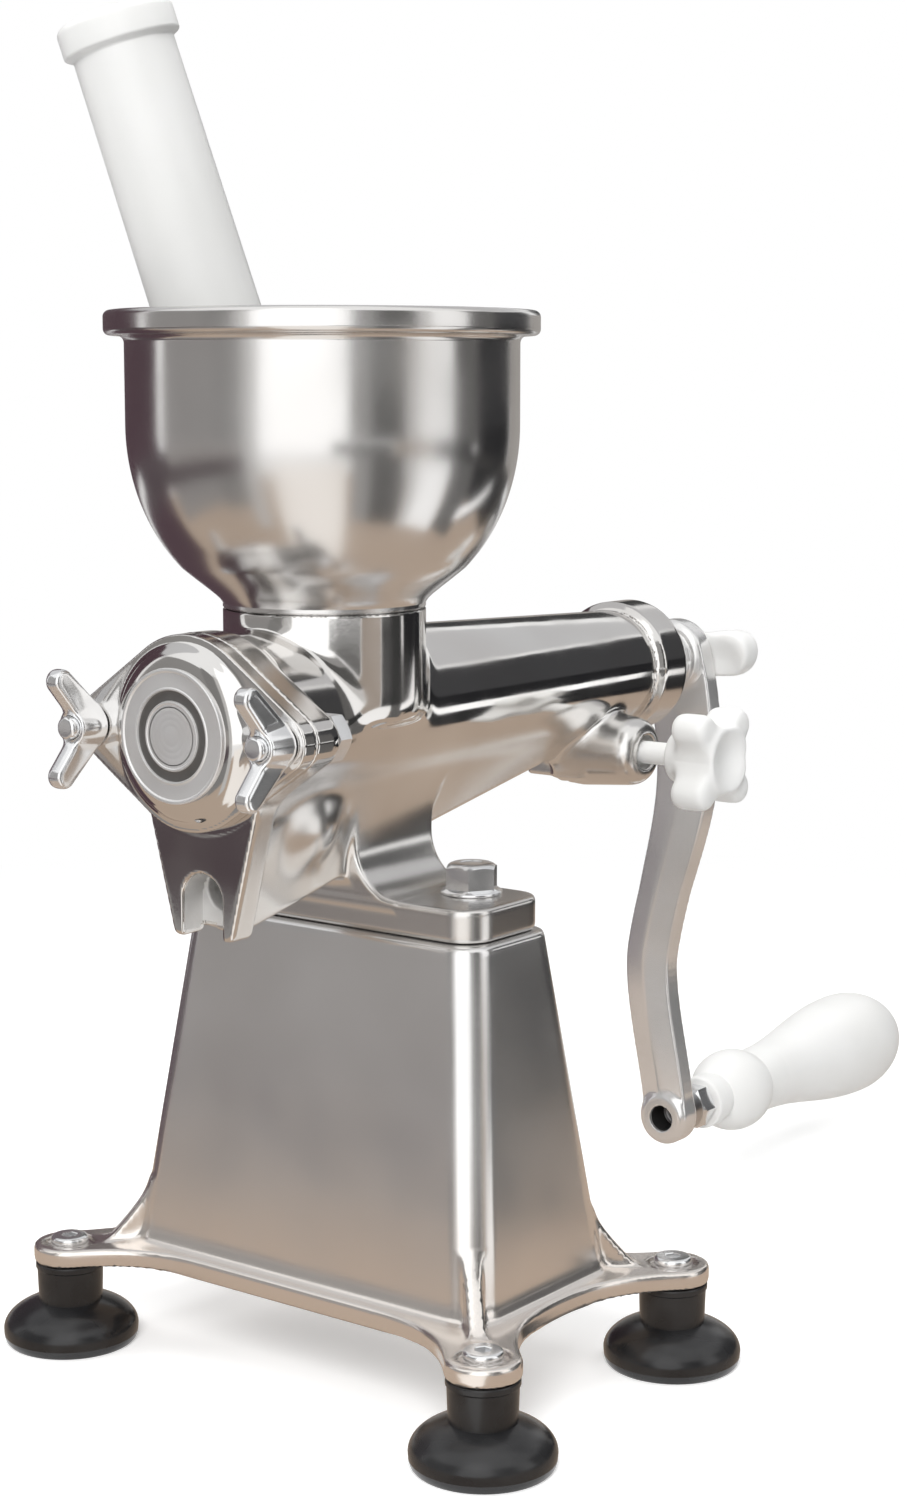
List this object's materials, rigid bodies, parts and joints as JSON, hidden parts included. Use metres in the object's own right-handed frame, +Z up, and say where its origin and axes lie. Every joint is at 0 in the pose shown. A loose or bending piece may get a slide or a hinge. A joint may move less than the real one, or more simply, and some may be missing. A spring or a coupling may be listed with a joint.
{
  "type": "manual juicer",
  "caption": "Hand-cranked tabletop juicer: a hopper over a tapering auger in a cast barrel, on a stand with suction feet, with a crank, front cap, choke screw and plunger.",
  "frame": {"origin": "on the floor, midway between the four suction feet", "axes": "+Z up, +Y along the barrel towards the crank, +X towards the choke knob"},
  "size_m": [0.242, 0.5098, 0.4832],
  "materials": {
    "cast_aluminium": "polished casting",
    "zinc_steel": "bright zinc plate",
    "plain_steel": "machined",
    "bronze": "sintered bush",
    "white_nylon": "smooth moulded",
    "black_rubber": "matt moulded"
  },
  "bodies": {
    "frame": {"base_stand": "cast_aluminium", "suction_foot_front_left": "black_rubber", "suction_foot_front_right": "black_rubber", "suction_foot_rear_left": "black_rubber", "suction_foot_rear_right": "black_rubber", "foot_screws": "zinc_steel", "foot_inserts": "plain_steel", "body_casting": "cast_aluminium", "hopper_bowl": "cast_aluminium", "flange_bolts": "zinc_steel", "flange_washers": "zinc_steel", "flange_nuts": "zinc_steel", "strainer": "plain_steel", "rear_bush": "bronze", "shaft_seal": "black_rubber", "thrust_washer": "white_nylon", "cap_bolts": "zinc_steel"},
    "cap": {"front_cap": "cast_aluminium", "cap_gasket": "black_rubber", "cap_bush": "bronze"},
    "left_nut": {"wing_nut_left": "zinc_steel"},
    "right_nut": {"wing_nut_right": "zinc_steel"},
    "drive": {"drive_shaft": "plain_steel", "auger_screw": "cast_aluminium", "crank_arm": "cast_aluminium", "handle_pin": "plain_steel", "handle_nut": "zinc_steel"},
    "knob": {"crank_knob": "white_nylon"},
    "grip": {"handle_grip": "white_nylon"},
    "choke": {"choke_rod": "white_nylon"},
    "choke_grip": {"choke_knob": "white_nylon"},
    "pusher": {"plunger": "white_nylon"}
  },
  "joints": [
    {"name": "cap_slide", "type": "slide", "parent": "frame", "child": "cap", "axis": [0, -1, 0], "range_m": [0, 0.03]},
    {"name": "left_nut_turn", "type": "hinge", "parent": "cap", "child": "left_nut", "pos_m": [-0.0418, -0.094, 0.24], "axis": [0, -1, 0], "continuous": true},
    {"name": "right_nut_turn", "type": "hinge", "parent": "cap", "child": "right_nut", "pos_m": [0.0418, -0.094, 0.24], "axis": [0, -1, 0], "continuous": true},
    {"name": "crank_turn", "type": "hinge", "parent": "frame", "child": "drive", "pos_m": [0, 0, 0.24], "axis": [0, 1, 0], "continuous": true},
    {"name": "knob_turn", "type": "hinge", "parent": "drive", "child": "knob", "pos_m": [0, 0.2114, 0.24], "axis": [0, 1, 0], "continuous": true},
    {"name": "grip_turn", "type": "hinge", "parent": "drive", "child": "grip", "pos_m": [0, 0.2304, 0.0415], "axis": [0, 1, 0], "continuous": true},
    {"name": "choke_slide", "type": "slide", "parent": "frame", "child": "choke", "axis": [1, 0, 0], "range_m": [-0.004, 0.012]},
    {"name": "choke_turn", "type": "hinge", "parent": "choke", "child": "choke_grip", "pos_m": [0.0495, 0.13, 0.2115], "axis": [1, 0, 0], "range_deg": [-470, 1430]},
    {"name": "plunger_slide", "type": "slide", "parent": "frame", "child": "pusher", "axis": [-0.2362, -0.178, 0.9553], "range_m": [0, 0.18]}
  ],
  "couplings": [
    {"joint": "choke_slide", "follows": "choke_turn", "m_per_rad": 0.00047746}
  ]
}
